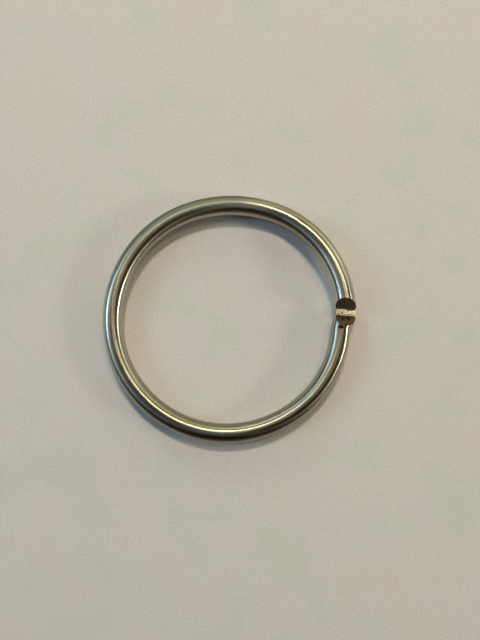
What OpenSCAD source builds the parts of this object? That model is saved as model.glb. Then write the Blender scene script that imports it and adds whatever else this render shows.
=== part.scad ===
// Split ring: one turn of round steel wire, cut through once with a pair of cutters.
// The ring's centre is the origin, its axis is +Z, and the cut is on the +X side.
// The wire lies flat all the way round except for the sprung arm, which is opened out
// a little and lifted, so that its end stands over the other end. The other arm lies
// flat too, but is a little out of round, and its end is kinked outward.

/* [Wire] */
// Diameter of the round wire
wire_d = 4.8; // [3:0.1:6]

/* [Ring] */
// Inside diameter of the part that is still round
inner_d = 50.8; // [40:0.2:80]

/* [Sprung arm] */
// Angle from the cut back to the point where the arm leaves the circle
arm_angle = 103.3; // [80:0.1:130]
// Extra bend radius of the first stretch, which is opened out but still flat
arm_opening = 4.3; // [0:0.1:8]
// Angle that the first stretch turns through
arm_bend_angle = 38.2; // [20:0.1:50]
// Bend radius of the knee, where the arm was bent up
knee_radius = 14; // [8:0.5:30]
// Angle that the knee turns through
knee_bend_angle = 8.5; // [4:0.5:20]
// Roll of the knee: 0 only bends it inward, 90 only lifts it
knee_roll_angle = 41; // [20:1:60]
// How much tighter than the ring the last stretch is bent
end_closing = 1.3; // [0:0.1:3]
// Angle that the last stretch turns through
end_bend_angle = 63.3; // [50:0.1:66]

/* [Kinked arm] */
// Angle from the cut back to the point where this arm leaves the circle
kinked_arm_angle = 84.2; // [70:0.1:100]
// Extra bend radius of its first stretch
kinked_opening = 1.4; // [0:0.1:4]
// Angle that the first stretch turns through
kinked_opening_angle = 30.5; // [20:0.5:40]
// How much tighter than the ring its second stretch is bent
kinked_closing = 1.3; // [0:0.1:4]
// How far the kinked end reaches past the cut, under the sprung end
end_overlap = 0.85; // [0.3:0.05:1.5]
// Bend radius where the kink turns outward
kink_radius = 3.8; // [3.6:0.1:8]
// Angle that the kink turns outward
kink_bend_angle = 34; // [0:1:40]
// Bend radius where the wire straightens again
return_radius = 3.1; // [3.1:0.1:8]
// Angle that it turns back
return_bend_angle = 41.6; // [0:0.1:45]

/* [Cut] */
// Slope of the cut face on the sprung arm, measured from the wire's axis
arm_slope_angle = 51.5; // [35:0.5:65]
// Slope of the cut face on the kinked end
kink_slope_angle = 40; // [35:1:65]
// How far below the wire's axis the cut face on the sprung arm ends
arm_foot = 0.9; // [0:0.05:1]
// How far below the wire's axis the cut face on the kinked end ends
kink_foot = 0.85; // [0:0.05:1]
// Angle of the cut on the sprung arm away from square
cut_skew_angle = 3; // [-10:0.5:10]
// How far the cut face on the kinked end leans to the ring's outside
kink_lean_angle = 20; // [-30:1:30]

/* [Lip] */
// Length of the squeezed lip that is left on the sprung arm
lip_length = 1.35; // [0.5:0.05:3]
// Thickness of the lip
lip_thickness = 0.7; // [0.3:0.05:0.9]
// Width of the lip, near the wire's own diameter
lip_width = 4.6; // [3:0.1:6.5]

/* [Hidden] */
$fn = 96;

wire_r = wire_d / 2;
// Radius of the ring's centreline
ring_r = inner_d / 2 + wire_r;
// How far a joint between two bends stands proud of the wire
join_lap = 0.01;
// How far the cutting tools reach past the wire
clear = wire_r;
// How far the lip runs back into the wire
lip_root = 0.4;
// Depth below the wire's axis at which both undersides start
heel = arm_foot + lip_thickness;
// Length of the kink, measured along the ring
kink_length = (kink_radius + return_radius) * sin(kink_bend_angle)
    + return_radius * sin(return_bend_angle - kink_bend_angle);
// Angle of the kinked arm's second stretch, which ends where the kink has to start
kinked_closing_angle = kinked_arm_angle - kinked_opening_angle
    - asin((kink_length - end_overlap) / ring_r);

// Each bend is [radius to the wire's centre, angle, roll]. A negative angle turns outward.
arm_path = [
    [ring_r + arm_opening, arm_bend_angle, 0],
    [knee_radius, knee_bend_angle, knee_roll_angle],
    [ring_r - end_closing, end_bend_angle, 0],
];
kinked_path = [
    [ring_r + kinked_opening, kinked_opening_angle, 0],
    [ring_r - kinked_closing, kinked_closing_angle, 0],
    [kink_radius, -kink_bend_angle, 0],
    [return_radius, return_bend_angle, 0],
];

// Mirrors what bends outward, so that every bend is drawn the same way
module facing(outward) {
    if (outward) mirror([1, 0, 0]) children();
    else children();
}

// A bend that starts at the origin, heading along +Y, round a centre on the -X side
module bend(step) {
    facing(step[1] < 0)
        rotate([0, step[2], 0])
            translate([-step[0], 0, 0])
                rotate_extrude(angle = abs(step[1]))
                    translate([step[0], 0])
                        circle(d = wire_d);
}

// Moves the children to the far end of a bend
module after(step) {
    facing(step[1] < 0)
        rotate([0, step[2], 0])
            translate([-step[0], 0, 0])
                rotate([0, 0, abs(step[1])])
                    translate([step[0], 0, 0])
                        rotate([0, -step[2], 0])
                            facing(step[1] < 0) children();
}

// Moves the children to the far end of the first bends of a path
module along(path, count, first = 0) {
    if (first < count) after(path[first]) along(path, count, first + 1) children();
    else children();
}

// Closes the joint between two bends. It stands proud of the wire by join_lap only.
module join() {
    sphere(r = wire_r + join_lap);
}

// The first bends of a path, each one fused to the run before it
module wire(path, count) {
    union() {
        if (count > 1) union() {
            wire(path, count - 1);
            along(path, count - 1) join();
        }
        along(path, count - 1) bend(path[count - 1]);
    }
}

// A wedge across the wire, from a profile of its length and its height
module wedge(profile) {
    rotate([90, 0, 90])
        linear_extrude(height = 2 * wire_d, center = true)
            polygon(profile);
}

// What the cutter's upper and lower jaws take off an end: the upper cut face ends at
// foot below the axis, and the lower one starts at heel. back is the lip between them.
module jaws(slope, foot, back) {
    reach = wire_r + clear;
    upper = (reach + foot) / tan(slope);
    lower = (reach - heel) / tan(slope);
    wedge([[-back, -foot], [clear, -foot], [clear, reach], [-back - upper, reach]]);
    wedge([[-back, -heel], [clear, -heel], [clear, -reach], [-back - lower, -reach]]);
}

// The lip, squeezed flat and round at both sides
module lip() {
    flat = lip_width - lip_thickness;
    translate([0, -lip_length - lip_root, -arm_foot - lip_thickness / 2])
        rotate([-90, 0, 0])
            linear_extrude(height = lip_length + lip_root) {
                square([flat, lip_thickness], center = true);
                for (side = [-1, 1])
                    translate([side * flat / 2, 0]) circle(d = lip_thickness);
            }
}

// Puts an end on the circle at an angle before the cut, heading towards the cut
module from_circle(angle) {
    rotate([0, 0, -angle]) translate([ring_r, 0, 0]) children();
}

// The part of the ring that is still round, between the two arms
module round_part() {
    rotate([0, 0, arm_angle])
        rotate_extrude(angle = 360 - arm_angle - kinked_arm_angle)
            translate([ring_r, 0])
                circle(d = wire_d);
    for (angle = [arm_angle, -kinked_arm_angle])
        rotate([0, 0, angle]) translate([ring_r, 0, 0]) join();
}

module sprung_arm() {
    mirror([0, 1, 0]) from_circle(arm_angle) {
        difference() {
            wire(arm_path, len(arm_path));
            along(arm_path, len(arm_path)) rotate([0, 0, cut_skew_angle])
                jaws(arm_slope_angle, arm_foot, lip_length);
        }
        along(arm_path, len(arm_path)) rotate([0, 0, cut_skew_angle]) lip();
    }
}

module kinked_arm() {
    from_circle(kinked_arm_angle) difference() {
        wire(kinked_path, len(kinked_path));
        along(kinked_path, len(kinked_path)) rotate([0, kink_lean_angle, 0])
            jaws(kink_slope_angle, kink_foot, 0);
    }
}

module ring() {
    color([0.72, 0.71, 0.66]) union() {
        round_part();
        sprung_arm();
        kinked_arm();
    }
}

ring();
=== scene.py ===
"""Split wire ring: one turn of bright steel wire, cut through once, lying on pale paper.

The wire is swept along the same bends as the CAD ring, at a finer step, then the two
pinched ends are cut with rough wedges so that the torn metal has real relief.
Everything is in metres, in the CAD frame: origin at the ring's centre, +X through the cut.
"""
import math

import bmesh
import bpy
import numpy as np
from mathutils import Matrix, Vector, noise


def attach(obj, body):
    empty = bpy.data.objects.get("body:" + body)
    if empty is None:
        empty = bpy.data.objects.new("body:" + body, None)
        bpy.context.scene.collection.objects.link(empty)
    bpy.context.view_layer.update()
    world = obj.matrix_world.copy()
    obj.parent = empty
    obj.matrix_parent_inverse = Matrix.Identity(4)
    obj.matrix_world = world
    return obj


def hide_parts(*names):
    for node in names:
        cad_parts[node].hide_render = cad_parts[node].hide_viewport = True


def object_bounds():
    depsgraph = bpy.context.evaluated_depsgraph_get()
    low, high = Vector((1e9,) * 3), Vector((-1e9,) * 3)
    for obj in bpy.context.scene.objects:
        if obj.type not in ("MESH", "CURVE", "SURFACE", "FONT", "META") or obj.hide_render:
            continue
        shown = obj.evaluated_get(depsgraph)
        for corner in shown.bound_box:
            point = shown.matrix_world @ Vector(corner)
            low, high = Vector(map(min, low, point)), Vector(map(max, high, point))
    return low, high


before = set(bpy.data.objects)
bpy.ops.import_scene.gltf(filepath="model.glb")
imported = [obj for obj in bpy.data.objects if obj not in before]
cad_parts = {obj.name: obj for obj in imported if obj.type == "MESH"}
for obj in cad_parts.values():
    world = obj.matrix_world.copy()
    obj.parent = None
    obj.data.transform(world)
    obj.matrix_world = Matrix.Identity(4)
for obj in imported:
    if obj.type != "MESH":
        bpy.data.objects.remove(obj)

CAD_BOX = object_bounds()
MM = 0.001

# ---------------------------------------------------------------- sizes, as in the CAD
# Angles and turns are in degrees
WIRE_R = 2.4 * MM
RING_R = 27.8 * MM
ARM_ANGLE = 103.3
KINKED_ARM_ANGLE = 84.2
# Each bend is (radius, turn, roll), in metres and degrees; a negative turn goes outward
ARM_BENDS = [
    (RING_R + 4.3 * MM, 38.2, 0.0),
    (14 * MM, 8.5, 41.0),
    (RING_R - 1.3 * MM, 63.3, 0.0),
]
KINK_RADIUS, KINK_TURN = 3.8 * MM, 34.0
RETURN_RADIUS, RETURN_TURN = 3.1 * MM, 41.6
END_OVERLAP = 0.85 * MM
KINKED_OPENING_TURN = 30.5
KINK_LENGTH = ((KINK_RADIUS + RETURN_RADIUS) * math.sin(math.radians(KINK_TURN))
               + RETURN_RADIUS * math.sin(math.radians(RETURN_TURN - KINK_TURN)))
KINKED_CLOSING_TURN = (KINKED_ARM_ANGLE - KINKED_OPENING_TURN
                       - math.degrees(math.asin((KINK_LENGTH - END_OVERLAP) / RING_R)))
KINKED_BENDS = [
    (RING_R + 1.4 * MM, KINKED_OPENING_TURN, 0.0),
    (RING_R - 1.3 * MM, KINKED_CLOSING_TURN, 0.0),
    (KINK_RADIUS, -KINK_TURN, 0.0),
    (RETURN_RADIUS, RETURN_TURN, 0.0),
]
ARM_SLOPE = 51.5
KINK_SLOPE = 40.0
ARM_FOOT = 0.9 * MM
KINK_FOOT = 0.85 * MM
CUT_SKEW = 3.0
KINK_LEAN = 20.0
LIP_LENGTH = 1.35 * MM
LIP_THICKNESS = 0.7 * MM
LIP_WIDTH = 4.6 * MM
LIP_ROOT = 0.4 * MM
LIP_CORE = 0.22 * MM
HEEL = ARM_FOOT + LIP_THICKNESS

# ---------------------------------------------------------------- fineness of the mesh
SIDES = 88
STEP = 0.36 * MM
CUT_CELL = 0.09 * MM
SHARP_ANGLE = 38.0

# ---------------------------------------------------------------- the camera's place
# The photograph looks straight down from just right of the ring's centre.
VIEW_TURN = math.radians(3.7)
CAMERA_HEIGHT = 122.5 * MM
CAMERA_ASIDE = 3.36 * MM
FOCAL_PIXELS = 500.0
LONG_SIDE_PIXELS = 640.0
SENSOR_MM = 36.0
CLIP_START = 5 * MM


# ================================================================ the wire's centreline
def bend_frames(start, radius, turn, roll):
    """Frames along one bend. In a frame +X is outward, +Y ahead and +Z up."""
    outward = turn < 0
    side = 1.0 if outward else -1.0
    rolled = start @ Matrix.Rotation(math.radians(roll), 4, "Y")
    steps = max(4, round(radius * math.radians(abs(turn)) / STEP))
    frames = []
    for k in range(1, steps + 1):
        swing = math.radians(turn) * k / steps
        ahead = (Matrix.Translation((side * radius, 0, 0)) @ Matrix.Rotation(swing, 4, "Z")
                 @ Matrix.Translation((-side * radius, 0, 0)))
        frames.append(rolled @ ahead @ Matrix.Rotation(math.radians(-roll), 4, "Y"))
    return frames


def run_frames(start_angle, bends):
    """Frames along a run of bends that leaves the circle heading towards the cut."""
    start = Matrix.Rotation(math.radians(-start_angle), 4, "Z") @ Matrix.Translation((RING_R, 0, 0))
    frames = [start]
    for radius, turn, roll in bends:
        frames += bend_frames(frames[-1], radius, turn, roll)
    return frames


MIRROR_Y = Matrix.Diagonal((1, -1, 1, 1))
KINKED_RUN = run_frames(KINKED_ARM_ANGLE, KINKED_BENDS)
ARM_RUN = [MIRROR_Y @ m for m in run_frames(ARM_ANGLE, ARM_BENDS)]


def round_frames():
    """Frames clockwise round the circle from the kinked arm to the sprung arm."""
    sweep = 360.0 - ARM_ANGLE - KINKED_ARM_ANGLE
    steps = round(RING_R * math.radians(sweep) / STEP)
    out = Matrix.Translation((RING_R, 0, 0))
    angles = [-KINKED_ARM_ANGLE - sweep * k / steps for k in range(1, steps)]
    return [Matrix.Rotation(math.radians(a), 4, "Z") @ out for a in angles]


def wire_frames():
    """The whole wire, from the kinked end round to the sprung end."""
    return KINKED_RUN[::-1] + round_frames() + ARM_RUN


# ================================================================ meshes
def new_object(name, verts, faces, materials, face_slots=None):
    mesh = bpy.data.meshes.new(name)
    mesh.from_pydata([tuple(v) for v in verts], [], faces)
    for material in materials:
        mesh.materials.append(material)
    if face_slots is not None:
        mesh.polygons.foreach_set("material_index", face_slots)
    mesh.update()
    made = bpy.data.objects.new(name, mesh)
    bpy.context.scene.collection.objects.link(made)
    return made


# Small knocks: degrees round the ring from the cut, degrees round the section from the
# outside, length along the wire, width round it, depth. All lengths in millimetres.
KNOCKS = [
    (-41.5, 44, 1.6, 0.50, 0.060),
    (-38.0, 60, 0.7, 0.35, 0.035),
    (-28.3, 50, 1.3, 0.45, 0.050),
    (-60.0, 105, 0.9, 0.40, 0.022),
    (11.2, 127, 0.28, 0.28, 0.070),
    (48.0, 70, 1.2, 0.45, 0.030),
    (95.0, 118, 1.5, 0.40, 0.020),
    (150.0, 60, 0.8, 0.50, 0.025),
    (188.0, 100, 1.8, 0.45, 0.022),
    (231.0, 62, 1.0, 0.40, 0.030),
    (283.0, 96, 1.4, 0.35, 0.020),
]
# A knock ends this many of its own lengths or widths out
KNOCK_REACH = 3.0


def knock_depth(ring_angle, around):
    """How far the surface is pushed in, in metres, at a place on the wire."""
    depth = 0.0
    for at, side, length, width, deep in KNOCKS:
        along_mm = math.radians((ring_angle - at + 180.0) % 360.0 - 180.0) * RING_R / MM
        across_mm = math.radians((around - side + 180.0) % 360.0 - 180.0) * WIRE_R / MM
        far = (along_mm / length) ** 2 + (across_mm / width) ** 2
        if far < KNOCK_REACH ** 2:
            depth += deep * math.exp(-far)
    return depth * MM


# How uneven drawn wire is, and over what lengths along it that comes and goes
UNEVEN = 0.004 * MM
SWELL_LENGTH = 6 * MM
WAVE_LENGTH = 3.2 * MM


def wire_mesh(name, frames, first, materials):
    """A run of wire as one closed tube, a touch uneven as drawn and bent wire is. The run
    starts at the frame numbered first on the whole wire."""
    verts, faces = [], []
    for k, m in enumerate(frames, first):
        at = m.translation
        ring_angle = math.degrees(math.atan2(at.y, at.x))
        swell = UNEVEN * noise.noise(Vector((k * STEP / SWELL_LENGTH, 0.3, 0.0)))
        for s in range(SIDES):
            around = 360.0 * s / SIDES
            turn = math.radians(around)
            wave = noise.noise(Vector((k * STEP / WAVE_LENGTH, math.cos(turn), math.sin(turn))))
            radius = WIRE_R + swell + UNEVEN * wave - knock_depth(ring_angle, around)
            verts.append(m @ Vector((radius * math.cos(turn), 0, radius * math.sin(turn))))
    for k in range(len(frames) - 1):
        a, b = k * SIDES, (k + 1) * SIDES
        for s in range(SIDES):
            t = (s + 1) % SIDES
            faces.append((a + s, a + t, b + t, b + s))
    last = (len(frames) - 1) * SIDES
    faces.append(tuple(range(SIDES))[::-1])
    faces.append(tuple(range(last, last + SIDES)))
    made = new_object(name, verts, faces, materials)
    outward_faces(made)
    return made


# Points of two runs that are closer than this are one point
WELD_GAP = 0.001 * MM


def weld(first, second, seam):
    """Joins two runs of wire end to end and drops the caps between them."""
    work = bmesh.new()
    for piece in (first, second):
        work.from_mesh(piece.data)
    caps = [f for f in work.faces if len(f.verts) == SIDES]
    caps = [f for f in caps if (f.calc_center_median() - seam).length < MM]
    bmesh.ops.delete(work, geom=caps, context="FACES_ONLY")
    near = [v for v in work.verts if (v.co - seam).length < 1.1 * WIRE_R]
    bmesh.ops.remove_doubles(work, verts=near, dist=WELD_GAP)
    work.to_mesh(first.data)
    work.free()
    bpy.data.objects.remove(second)


def torn(place, size, depth, seed):
    """Roughness of a cut face: a displacement at a place, in metres."""
    p = Vector((place[0] / size, place[1] / size, seed))
    return depth * noise.fractal(p, 0.7, 2.1, 4)


def pit_depth(x, run, pits):
    """How deep the small pits of a cut face are at a place, in metres."""
    depth = 0.0
    for at_x, at_run, size, deep in pits:
        depth += deep * MM * math.exp(-((x / MM - at_x) ** 2 + (run / MM - at_run) ** 2) / size ** 2)
    return depth


# The cutting wedges reach a little past the wire. Their torn surface is made of grains.
WEDGE_HALF_WIDTH = 1.25 * WIRE_R + 0.4 * MM
GRAIN = 0.55 * MM


def rough_wedge(name, frame_at, profile, rough_edges, materials, slot, seed, pits=()):
    """A prism across the wire. The profile is points of (ahead, up); each edge in
    rough_edges is split finely and given a torn surface (depth in metres). Pits are
    (across, along the edge, size, depth) in millimetres."""
    half = WEDGE_HALF_WIDTH
    columns = round(2 * half / CUT_CELL)
    outline = []
    for i, start in enumerate(profile):
        end = profile[(i + 1) % len(profile)]
        length = math.dist(start, end)
        cells = max(1, round(length / CUT_CELL)) if i in rough_edges else 1
        normal = ((end[1] - start[1]) / length, -(end[0] - start[0]) / length)
        for c in range(cells):
            f = c / cells
            depth = rough_edges.get(i, 0.0) if 0 < c else 0.0
            point = (start[0] + f * (end[0] - start[0]), start[1] + f * (end[1] - start[1]))
            outline.append((point, normal, depth, f * length))
    verts, faces = [], []
    for c in range(columns + 1):
        x = -half + 2 * half * c / columns
        for (y, z), (ny, nz), depth, run in outline:
            push = torn((x, run), GRAIN, depth, seed) + pit_depth(x, run, pits) if depth else 0.0
            verts.append(frame_at @ Vector((x, y + ny * push, z + nz * push)))
    n = len(outline)
    for c in range(columns):
        a, b = c * n, (c + 1) * n
        for i in range(n):
            j = (i + 1) % n
            faces.append((a + i, b + i, b + j, a + j))
    faces.append(tuple(range(n)))
    faces.append(tuple(range(columns * n, columns * n + n))[::-1])
    made = new_object(name, verts, faces, materials, [slot] * len(faces))
    outward_faces(made)
    return made


def outward_faces(piece):
    """Turns all faces of a closed mesh outward."""
    work = bmesh.new()
    work.from_mesh(piece.data)
    bmesh.ops.recalc_face_normals(work, faces=work.faces)
    work.to_mesh(piece.data)
    work.free()


def cut_or_join(piece, tool, operation):
    """Applies one boolean and removes the tool."""
    modifier = piece.modifiers.new("cut", "BOOLEAN")
    modifier.solver = "MANIFOLD"
    modifier.operation = operation
    modifier.object = tool
    bpy.context.view_layer.update()
    shape = bpy.data.meshes.new_from_object(piece.evaluated_get(bpy.context.evaluated_depsgraph_get()))
    piece.modifiers.clear()
    piece.data = shape
    bpy.data.objects.remove(tool)


# Places of the ring's materials: the wire's own (0), the cut faces' and the torn lip's
CUT_SLOT, TORN_SLOT = 1, 2
# Two small pits near the tip of the kinked end: across, along the slope, size, depth (mm)
KINK_PITS = [(-1.3, 6.85, 0.34, 0.80), (0.25, 6.9, 0.32, 0.75)]
# The sloping edge of a jaw's profile, how rough it is, and the step between the two jaws' seeds
SLOPE_EDGE = 3
SLOPE_RELIEF = 0.035 * MM
SEED_STEP = 3.0


def cut_end(wire, name, frame_at, slope, foot, back, core, materials, seed, pits=()):
    """Takes off what the cutter's two jaws took off one end. Under a lip, both jaws go
    deeper by core, so that the lip's own torn surface lies over what is left."""
    reach = 2 * WIRE_R
    rise = math.tan(math.radians(slope))
    upper = (reach + foot) / rise
    lower = (reach - HEEL) / rise
    top = [(-back, -foot - core), (reach, -foot - core), (reach, reach), (-back - upper, reach)]
    under = [(-back, -HEEL + core), (reach, -HEEL + core), (reach, -reach), (-back - lower, -reach)]
    rough = {SLOPE_EDGE: SLOPE_RELIEF}
    for part, profile, pitted in (("upper", top, pits), ("lower", under, ())):
        wedge = rough_wedge(f"{name}_{part}", frame_at, profile, rough, materials, CUT_SLOT,
                            seed, pitted)
        cut_or_join(wire, wedge, "DIFFERENCE")
        seed += SEED_STEP


# Dark spots in the lip's upper side: across, ahead, half width, half length, depth (mm).
# The last one is the crevice between the lip and the jaw's face, and its dark colour is painted shade.
LIP_SPOTS = [
    (-0.95, -0.62, 0.24, 0.22, 0.22),
    (-1.45, -1.02, 0.22, 0.12, 0.10),
    (-0.42, -1.00, 0.16, 0.10, 0.10),
    (-0.30, -0.30, 0.12, 0.09, 0.08),
    (1.45, -0.75, 0.12, 0.08, 0.06),
    (0.95, -1.33, 1.15, 0.17, 0.16),
]
# A spot's rim: where it lies and how ragged it is, as shares of its half width, and the
# size of the rags. Past SPOT_DARK the metal inside the spot is dark.
SPOT_RIM = 1.15
SPOT_RAGS = 0.35
SPOT_RAG_SIZE = 0.22 * MM
SPOT_DARK = 0.25


def spot_share(x, y):
    """How far inside a dark spot of the lip a place is (0 outside), and the spot's depth."""
    best = (0.0, 0.0)
    for at_x, at_y, wide, long, deep in LIP_SPOTS:
        ragged = SPOT_RAGS * noise.noise(Vector((x / SPOT_RAG_SIZE, y / SPOT_RAG_SIZE, 6.0)))
        away = math.hypot((x / MM - at_x) / wide, (y / MM - at_y) / long)
        best = max(best, (max(0.0, SPOT_RIM + ragged - away), deep * MM))
    return best


def lip_outline(across, round_steps):
    """The lip's section: flat above and below, half round at both sides."""
    flat = (LIP_WIDTH - LIP_THICKNESS) / 2
    half = LIP_THICKNESS / 2
    outline = []
    for side in (1, -1):
        outline += [(side * (-flat + 2 * flat * k / across), side * half) for k in range(across + 1)]
        for k in range(1, round_steps):
            turn = math.radians(side * 90 - 180 * k / round_steps)
            outline.append((side * flat + half * math.cos(turn), half * math.sin(turn)))
    return outline


# The lip's front edge is torn and thinned, and its surface is lumpy
LIP_TEAR = 0.10 * MM
LIP_TEAR_SIZE = 0.9 * MM
LIP_THINNING = 0.45
LIP_THIN_FROM = 0.75
LIP_LUMPS = 0.075 * MM
LIP_LUMP_SIZE = 0.42 * MM


def lip_mesh(frame_at, materials):
    """The squeezed lip: a thin slab, round at both sides, torn along its front edge."""
    half = LIP_THICKNESS / 2
    middle = -ARM_FOOT - half
    rows = 26
    outline = lip_outline(across=56, round_steps=8)
    verts, faces, places, slots = [], [], [], []
    for row in range(rows + 1):
        f = row / rows
        for x, z in outline:
            front = LIP_TEAR * noise.fractal(Vector((x / LIP_TEAR_SIZE, 4.0, 2.0)), 0.8, 2.0, 3)
            y = -LIP_LENGTH - LIP_ROOT + f * (LIP_LENGTH + LIP_ROOT + min(0.0, front))
            thin = 1.0 - LIP_THINNING * max(0.0, f - LIP_THIN_FROM) / (1.0 - LIP_THIN_FROM)
            lump = torn((x, y), LIP_LUMP_SIZE, LIP_LUMPS, 9.0 if z > 0 else 21.0)
            share, deep = spot_share(x, y)
            drop = deep * min(1.0, share) if z > 0 else 0.0
            places.append((x, y, z))
            verts.append(frame_at @ Vector((x, y, middle + z * thin + lump * abs(z) / half - drop)))
    n = len(outline)
    for row in range(rows):
        a, b = row * n, (row + 1) * n
        for i in range(n):
            j = (i + 1) % n
            faces.append((a + i, a + j, b + j, b + i))
            corners = [places[k] for k in faces[-1]]
            x, y = (sum(corner[k] for corner in corners) / 4 for k in (0, 1))
            # Faces deep in a spot take the dark cut-face colour; in the crevice this is painted shade
            dark = corners[0][2] > 0 and spot_share(x, y)[0] > SPOT_DARK
            slots.append(CUT_SLOT if dark else TORN_SLOT)
    faces.append(tuple(range(n)))
    faces.append(tuple(range(rows * n, rows * n + n))[::-1])
    slots += [TORN_SLOT] * 2
    made = new_object("ring_lip", verts, faces, materials, slots)
    outward_faces(made)
    return made


def unrolled(piece):
    """Stores each vertex's place on the straightened wire: length along it, then the
    two coordinates of its section. The drawn marks on the metal follow this."""
    frames = wire_frames()
    centres = np.array([m.translation for m in frames])
    outs = np.array([m.col[0][:3] for m in frames])
    ups = np.array([m.col[2][:3] for m in frames])
    lengths = np.concatenate([[0.0], np.cumsum(np.linalg.norm(np.diff(centres, axis=0), axis=1))])
    count = len(piece.data.vertices)
    places = np.empty(count * 3)
    piece.data.vertices.foreach_get("co", places)
    places = places.reshape(-1, 3)
    stored = np.empty((count, 3))
    chunk = 4000
    for low in range(0, count, chunk):
        part = places[low:low + chunk]
        nearest = np.argmin(((part[:, None, :] - centres[None, :, :]) ** 2).sum(axis=2), axis=1)
        away = part - centres[nearest]
        stored[low:low + chunk, 0] = lengths[nearest]
        stored[low:low + chunk, 1] = (away * outs[nearest]).sum(axis=1)
        stored[low:low + chunk, 2] = (away * ups[nearest]).sum(axis=1)
    attribute = piece.data.attributes.new("wire_place", "FLOAT_VECTOR", "POINT")
    attribute.data.foreach_set("vector", stored.ravel())


# ================================================================ materials
class Nodes:
    """A small helper that adds nodes to one material and joins them by name."""

    def __init__(self, name):
        self.material = bpy.data.materials.new(name)
        self.material.use_nodes = True
        self.tree = self.material.node_tree
        self.shader = self.tree.nodes["Principled BSDF"]

    def add(self, kind, **settings):
        made = self.tree.nodes.new(kind)
        for key, value in settings.items():
            if key in made.inputs:
                made.inputs[key].default_value = value
            else:
                setattr(made, key, value)
        return made

    def join(self, source, target):
        self.tree.links.new(source, target)

    def noise(self, vector, scale, detail=4.0, rough=0.55):
        made = self.add("ShaderNodeTexNoise", Scale=scale, Detail=detail, Roughness=rough)
        self.join(vector, made.inputs["Vector"])
        return made.outputs["Fac"]

    def ramp(self, value, stops):
        """A colour ramp of (place, colour or grey)."""
        made = self.add("ShaderNodeValToRGB")
        points = made.color_ramp.elements
        while len(points) < len(stops):
            points.new(0.5)
        for point, (place, colour) in zip(points, stops):
            point.position = place
            point.color = (*colour, 1.0) if isinstance(colour, tuple) else (colour, colour, colour, 1.0)
        self.join(value, made.inputs["Fac"])
        return made.outputs["Color"]

    def stretched(self, vector, scale):
        made = self.add("ShaderNodeMapping")
        made.inputs["Scale"].default_value = scale
        self.join(vector, made.inputs["Vector"])
        return made.outputs["Vector"]

    def split(self, vector):
        """The X, Y and Z of a place."""
        made = self.add("ShaderNodeSeparateXYZ")
        self.join(vector, made.inputs["Vector"])
        return made.outputs

    def maths(self, operation, a, b):
        made = self.add("ShaderNodeMath", operation=operation)
        for socket, value in zip(made.inputs, (a, b)):
            if isinstance(value, float):
                socket.default_value = value
            else:
                self.join(value, socket)
        return made.outputs["Value"]

    def mix(self, factor, a, b):
        made = self.add("ShaderNodeMix", data_type="RGBA")
        self.join(factor, made.inputs["Factor"])
        for socket, value in ((made.inputs[6], a), (made.inputs[7], b)):
            if isinstance(value, tuple):
                socket.default_value = (*value, 1.0)
            else:
                self.join(value, socket)
        return made.outputs[2]

    def bump(self, height, distance, strength=1.0, under=None):
        made = self.add("ShaderNodeBump", Distance=distance, Strength=strength)
        self.join(height, made.inputs["Height"])
        if under is not None:
            self.join(under, made.inputs["Normal"])
        return made.outputs["Normal"]

    def finish(self, colour, roughness, normal, metallic):
        self.join(colour, self.shader.inputs["Base Color"])
        self.join(roughness, self.shader.inputs["Roughness"])
        self.join(normal, self.shader.inputs["Normal"])
        self.shader.inputs["Metallic"].default_value = metallic
        return self.material


def wire_place(nodes):
    """Place on the straightened wire, in millimetres."""
    made = nodes.add("ShaderNodeAttribute", attribute_name="wire_place")
    return nodes.stretched(made.outputs["Vector"], (1 / MM, 1 / MM, 1 / MM))


# The wire's own marks lie at shares of this length (mm) from the kinked end, which is a
# little less than the whole wire. In the picture a share runs clockwise from the cut.
SHARE_LENGTH = 175.0
# A painted shadow on the wire by the kinked end's cut, in the gap between the two ends: its
# centre, along the wire and outward (mm), and how much it is squeezed each way
SHADOW_MARK_AT = (3.9, -0.35, 0.0)
SHADOW_MARK_SQUEEZE = (1.9, 1.5, 0.0)


def wire_share(n, along):
    """A place's share of the way from the kinked end round to the sprung end."""
    return n.maths("MULTIPLY", along, 1 / SHARE_LENGTH)


def wear_and_shade_side(n, share, outward):
    """The stretch worn duller, whose colour is also painted darker as shade: all but the inner side of the
    upper left of the ring.
    """
    stretch = n.ramp(share, [(0.53, 0.0), (0.60, 0.7), (0.70, 1.0), (0.78, 1.0), (0.83, 0.0)])
    outer_side = n.ramp(n.maths("ADD", n.maths("MULTIPLY", outward, 0.2), 0.5), [(0.30, 0.0), (0.42, 1.0)])
    return n.maths("MULTIPLY", stretch, outer_side)


def painted_shadow_mark(n, place):
    """A ragged painted shadow by the kinked end's cut."""
    away = n.add("ShaderNodeVectorMath", operation="DISTANCE")
    n.join(n.stretched(place, SHADOW_MARK_SQUEEZE), away.inputs[0])
    away.inputs[1].default_value = [at * squeeze for at, squeeze in zip(SHADOW_MARK_AT, SHADOW_MARK_SQUEEZE)]
    ragged = n.maths("MULTIPLY", n.noise(place, 2.6, 3.0, 0.6), 0.5)
    reach = n.maths("ADD", n.maths("MULTIPLY", away.outputs["Value"], 0.5), ragged)
    return n.ramp(reach, [(0.60, 1.0), (0.86, 0.0)])


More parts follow.
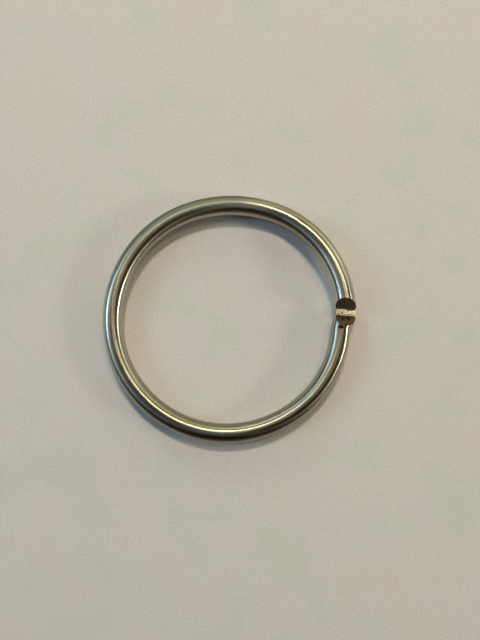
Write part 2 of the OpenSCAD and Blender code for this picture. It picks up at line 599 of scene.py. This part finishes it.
def bright_wire():
    """Plated steel wire: drawn lines along it, hazy patches and dull specks. It is smoother opposite
    the cut and near both ends, where its brighter colour is painted sheen; darker between, as painted
    shade; worn duller at the upper left, where its darker colour is painted shade; and it has a
    painted shadow at the kinked end. Highlights stretch along the wire."""
    n = Nodes("bright_wire")
    place = wire_place(n)
    along, outward, _ = n.split(place)
    share = wire_share(n, along)
    drawn = n.noise(n.stretched(place, (0.35, 9.0, 9.0)), 1.0, 5.0, 0.6)
    fine = n.noise(n.stretched(place, (1.6, 26.0, 26.0)), 1.0, 3.0, 0.6)
    haze = n.noise(n.stretched(place, (0.22, 0.5, 0.5)), 1.0, 4.0, 0.6)
    specks = n.ramp(n.noise(place, 3.4, 2.0, 0.5), [(0.70, 0.0), (0.76, 1.0)])
    streaks = n.ramp(drawn, [(0.30, 0.45), (0.46, 0.0)])
    # Opposite the cut and near both ends: a smoother finish, and a brighter colour that is painted sheen
    smoother_with_sheen = n.ramp(share, [(0.05, 0.3), (0.09, 0.0), (0.44, 0.0), (0.50, 1.0), (0.58, 1.0),
                              (0.62, 0.0), (0.88, 0.0), (0.94, 1.0)])
    shaded_stretch = n.ramp(share, [(0.11, 0.0), (0.20, 1.0), (0.37, 1.0), (0.43, 0.0), (0.80, 0.0),
                               (0.84, 0.6), (0.91, 0.6), (0.935, 0.0)])
    wear_and_shade = wear_and_shade_side(n, share, outward)
    painted_shadow = painted_shadow_mark(n, place)

    colour = n.ramp(haze, [(0.30, (0.39, 0.37, 0.29)), (0.55, (0.43, 0.415, 0.33)),
                           (0.78, (0.38, 0.375, 0.31))])
    # Painted sheen: brighter metal opposite the cut and near both ends lifts the highlights there
    colour = n.mix(n.maths("MULTIPLY", smoother_with_sheen, 0.6), colour, (0.62, 0.60, 0.51))
    # Painted shade: darker metal along the bottom and at the upper right dims the reflections there
    colour = n.mix(shaded_stretch, colour, (0.32, 0.30, 0.225))
    colour = n.mix(streaks, colour, (0.13, 0.115, 0.075))
    colour = n.mix(specks, colour, (0.20, 0.18, 0.13))
    # Painted shade: darker metal on the worn stretch dims the highlight there; its added roughness is the
    # wear
    colour = n.mix(n.maths("MULTIPLY", wear_and_shade, 0.55), colour, (0.13, 0.125, 0.09))
    # Painted shadow: the wire is darkened by the kinked end's cut, in the gap between the two ends
    colour = n.mix(painted_shadow, colour, (0.02, 0.017, 0.012))

    rough = n.ramp(haze, [(0.25, 0.285), (0.5, 0.305), (0.75, 0.335)])
    rough = n.maths("SUBTRACT", rough, n.maths("MULTIPLY", smoother_with_sheen, 0.045))
    for mark, dulling in ((wear_and_shade, 0.20), (painted_shadow, 0.3), (fine, 0.06), (specks, 0.2)):
        rough = n.maths("ADD", rough, n.maths("MULTIPLY", mark, dulling))

    normal = n.bump(drawn, 0.0032 * MM)
    normal = n.bump(fine, 0.0012 * MM, under=normal)
    material = n.finish(colour, rough, normal, 1.0)
    n.shader.inputs["Anisotropic"].default_value = 0.85
    around_ring = n.add("ShaderNodeTangent", direction_type="RADIAL", axis="Z")
    n.join(around_ring.outputs["Tangent"], n.shader.inputs["Tangent"])
    return material


def cut_metal():
    """The two jaws' faces: dark brown, dull, scored down the slope, and painted nearly black as
    shade at the wire's rim. The sprung arm's face is painted a little lighter, as painted light."""
    n = Nodes("cut_face")
    place = wire_place(n)
    scored = n.noise(n.stretched(place, (0.8, 7.0, 0.8)), 1.0, 5.0, 0.65)
    mottle = n.noise(place, 1.9, 6.0, 0.65)
    along, _, _ = n.split(place)
    sprung = n.ramp(wire_share(n, along), [(0.4, 0.0), (0.6, 0.3)])
    from_axis = n.add("ShaderNodeVectorMath", operation="LENGTH")
    n.join(n.stretched(place, (0.0, 1.0, 1.0)), from_axis.inputs[0])
    rim = n.ramp(n.maths("MULTIPLY", from_axis.outputs["Value"], 0.4), [(0.83, 0.0), (0.92, 1.0)])
    colour = n.ramp(mottle, [(0.30, (0.024, 0.013, 0.005)), (0.48, (0.070, 0.046, 0.022)),
                             (0.60, (0.115, 0.078, 0.041)), (0.76, (0.24, 0.17, 0.095))])
    # Painted light: the sprung arm's cut face is a little lighter than the kinked end's
    colour = n.mix(sprung, colour, (0.20, 0.13, 0.065))
    # Painted shade: the face goes nearly black at the wire's rim
    colour = n.mix(rim, colour, (0.012, 0.009, 0.006))
    rough = n.ramp(scored, [(0.3, 0.42), (0.7, 0.72)])
    normal = n.bump(scored, 0.03 * MM)
    normal = n.bump(mottle, 0.03 * MM, under=normal)
    return n.finish(colour, rough, normal, 0.35)


def torn_metal():
    """The lip's torn metal: bright and golden in patches, more so towards the outside. This bright gold is
    partly the torn metal's own colour and partly painted highlight.
    """
    n = Nodes("torn_lip")
    place = wire_place(n)
    grain = n.noise(place, 5.5, 6.0, 0.7)
    _, outward, _ = n.split(place)
    # Painted highlight: the lip is made lighter towards the outside
    brighter = n.maths("ADD", n.maths("MULTIPLY", outward, 0.03), 0.05)
    patches = n.maths("ADD", n.noise(place, 2.1, 3.0, 0.6), brighter)
    colour = n.ramp(patches, [(0.34, (0.16, 0.09, 0.035)), (0.42, (0.52, 0.36, 0.17)),
                              (0.50, (0.95, 0.79, 0.47)), (0.66, (1.0, 0.94, 0.70))])
    rough = n.ramp(grain, [(0.3, 0.38), (0.7, 0.55)])
    normal = n.bump(grain, 0.04 * MM)
    return n.finish(colour, rough, normal, 0.45)


def paper_floor():
    """Pale office paper, with fine fibres and faint warm and cool clouds."""
    n = Nodes("paper")
    place = n.add("ShaderNodeTexCoord").outputs["Object"]
    fibres = n.noise(place, 1700.0, 4.0, 0.65)
    clouds = n.noise(place, 70.0, 4.0, 0.55)
    colour = n.ramp(clouds, [(0.35, (0.75, 0.69, 0.66)), (0.5, (0.735, 0.71, 0.685)),
                             (0.65, (0.69, 0.695, 0.645))])
    colour = n.mix(n.ramp(fibres, [(0.35, 0.0), (0.65, 0.30)]), colour, (0.44, 0.42, 0.40))
    rough = n.ramp(fibres, [(0.3, 0.82), (0.7, 0.95)])
    normal = n.bump(fibres, 0.02 * MM, 0.5)
    return n.finish(colour, rough, normal, 0.0)


# ================================================================ the ring
def build_ring():
    materials = [bright_wire(), cut_metal(), torn_metal()]
    frames = wire_frames()
    middle = len(frames) // 2
    wire = wire_mesh("ring_wire", frames[:middle + 1], 0, materials)
    arm = wire_mesh("arm_wire", frames[middle:], middle, materials)
    kink_end = KINKED_RUN[-1] @ Matrix.Rotation(math.radians(KINK_LEAN), 4, "Y")
    cut_end(wire, "kink_jaw", kink_end, KINK_SLOPE, KINK_FOOT, back=0.0, core=0.0,
            materials=materials, seed=13.0, pits=KINK_PITS)
    arm_end = ARM_RUN[-1] @ Matrix.Rotation(math.radians(CUT_SKEW), 4, "Z")
    cut_end(arm, "arm_jaw", arm_end, ARM_SLOPE, ARM_FOOT, back=LIP_LENGTH, core=LIP_CORE,
            materials=materials, seed=1.0)
    cut_or_join(arm, lip_mesh(arm_end, materials), "UNION")
    weld(wire, arm, frames[middle].translation)
    for polygon in wire.data.polygons:
        polygon.use_smooth = True
    wire.data.set_sharp_from_angle(angle=math.radians(SHARP_ANGLE))
    unrolled(wire)
    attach(wire, "root")
    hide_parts("ring")


# ================================================================ the stage
FLOOR_HALF_SIZE = 0.9


def build_floor():
    """The paper, level with the underside of the CAD ring."""
    size, z = FLOOR_HALF_SIZE, CAD_BOX[0][2]
    corners = [(-size, -size, z), (size, -size, z), (size, size, z), (-size, size, z)]
    floor = new_object("paper_floor", corners, [(0, 1, 2, 3)], [paper_floor()])


def in_photo(azimuth, tilt, distance):
    """A point from its azimuth in the picture (0 is right, 90 is up) and tilt from overhead."""
    turn = math.radians(azimuth) - VIEW_TURN
    lean = math.radians(tilt)
    aside = math.sin(lean)
    return Vector((aside * math.cos(turn), aside * math.sin(turn), math.cos(lean))) * distance


# Area lamps, all aimed at the ring's centre: name, azimuth and tilt (degrees), distance,
# width and height (metres), power (watts) and colour
LAMPS = [
    ("warm_lamp", 84, 38, 0.9, 0.124, 0.084, 1.9, (1.0, 0.70, 0.36)),
    ("pale_lamp", 92, 38, 0.9, 0.124, 0.084, 1.8, (0.88, 0.94, 1.0)),
    ("gold_lamp", 46, 33, 1.4, 0.28, 0.20, 2.5, (1.0, 0.80, 0.52)),
    ("north_lamp", 112, 70, 1.4, 0.25, 0.25, 2.7, (0.76, 0.93, 0.93)),
    ("white_lamp", 351, 71, 1.4, 0.36, 0.18, 5.0, (1.0, 0.95, 0.84)),
    ("cool_window", 174, 62, 1.4, 0.24, 0.50, 4.5, (0.46, 0.71, 1.0)),
]


def add_lamp(name, azimuth, tilt, distance, width, height, power, colour):
    light = bpy.data.lights.new(name, "AREA")
    light.shape = "RECTANGLE"
    light.size = width
    light.size_y = height
    light.energy = power
    light.color = colour
    lamp = bpy.data.objects.new(name, light)
    lamp.location = in_photo(azimuth, tilt, distance)
    lamp.rotation_euler = (-lamp.location).to_track_quat("-Z", "Y").to_euler()
    bpy.context.scene.collection.objects.link(lamp)


# What the camera sees past the paper, and the light of the dark ceiling
BACKDROP = (0.50, 0.48, 0.44)
CEILING = (0.005, 0.004, 0.002)
# Soft patches of the studio round the ring: azimuth in the picture, tilt from overhead,
# how wide each one is (degrees) and its light
PATCHES = [
    (45, 78, 16, (1.75, 1.72, 1.15)),
    (90, 78, 16, (1.05, 1.15, 0.65)),
    (225, 78, 16, (0.06, 0.06, 0.08)),
    (270, 78, 16, (0.13, 0.08, 0.04)),
    (135, 45, 20, (0.32, 0.45, 0.46)),
    (180, 45, 20, (0.34, 0.32, 0.33)),
]
# A patch is full out to the first share of its width and gone at the second one
PATCH_FULL, PATCH_GONE = 0.3, 1.6


def soft_patch(tree, place, azimuth, tilt, width, colour):
    """The light of one patch in every direction of the sky."""
    facing = tree.nodes.new("ShaderNodeVectorMath")
    facing.operation = "DOT_PRODUCT"
    facing.inputs[1].default_value = in_photo(azimuth, tilt, 1.0)
    tree.links.new(place, facing.inputs[0])
    soft = tree.nodes.new("ShaderNodeMapRange")
    soft.interpolation_type = "SMOOTHSTEP"
    soft.inputs["From Min"].default_value = math.cos(math.radians(PATCH_GONE * width))
    soft.inputs["From Max"].default_value = math.cos(math.radians(PATCH_FULL * width))
    tree.links.new(facing.outputs["Value"], soft.inputs["Value"])
    light = tree.nodes.new("ShaderNodeVectorMath")
    light.operation = "SCALE"
    light.inputs[0].default_value = colour
    tree.links.new(soft.outputs["Result"], light.inputs["Scale"])
    return light.outputs["Vector"]


def build_world():
    """A dim studio: a dark ceiling, with soft pale patches round the sides. The camera
    itself sees a plain pale backdrop there."""
    world = bpy.data.worlds.new("studio")
    bpy.context.scene.world = world
    world.use_nodes = True
    tree = world.node_tree
    place = tree.nodes.new("ShaderNodeTexCoord").outputs["Generated"]
    ceiling = tree.nodes.new("ShaderNodeCombineXYZ")
    for socket, value in zip(ceiling.inputs, CEILING):
        socket.default_value = value
    total = ceiling.outputs["Vector"]
    for azimuth, tilt, width, colour in PATCHES:
        both = tree.nodes.new("ShaderNodeVectorMath")
        both.operation = "ADD"
        tree.links.new(total, both.inputs[0])
        tree.links.new(soft_patch(tree, place, azimuth, tilt, width, colour), both.inputs[1])
        total = both.outputs["Vector"]
    seen = tree.nodes.new("ShaderNodeMix")
    seen.data_type = "RGBA"
    camera_ray = tree.nodes.new("ShaderNodeLightPath").outputs["Is Camera Ray"]
    tree.links.new(camera_ray, seen.inputs["Factor"])
    tree.links.new(total, seen.inputs[6])
    seen.inputs[7].default_value = (*BACKDROP, 1.0)
    tree.links.new(seen.outputs[2], tree.nodes["Background"].inputs["Color"])


def build_camera():
    data = bpy.data.cameras.new("camera")
    data.sensor_width = SENSOR_MM
    data.lens = SENSOR_MM * FOCAL_PIXELS / LONG_SIDE_PIXELS
    data.clip_start = CLIP_START
    camera = bpy.data.objects.new("camera", data)
    aside = Vector((math.cos(VIEW_TURN), -math.sin(VIEW_TURN), 0.0)) * CAMERA_ASIDE
    camera.location = aside + Vector((0.0, 0.0, CAMERA_HEIGHT))
    camera.rotation_euler = (0.0, 0.0, -VIEW_TURN)
    bpy.context.scene.collection.objects.link(camera)
    bpy.context.scene.camera = camera


build_ring()
build_floor()
build_world()
for lamp in LAMPS:
    add_lamp(*lamp)
build_camera()
bpy.context.scene.view_settings.view_transform = "Standard"
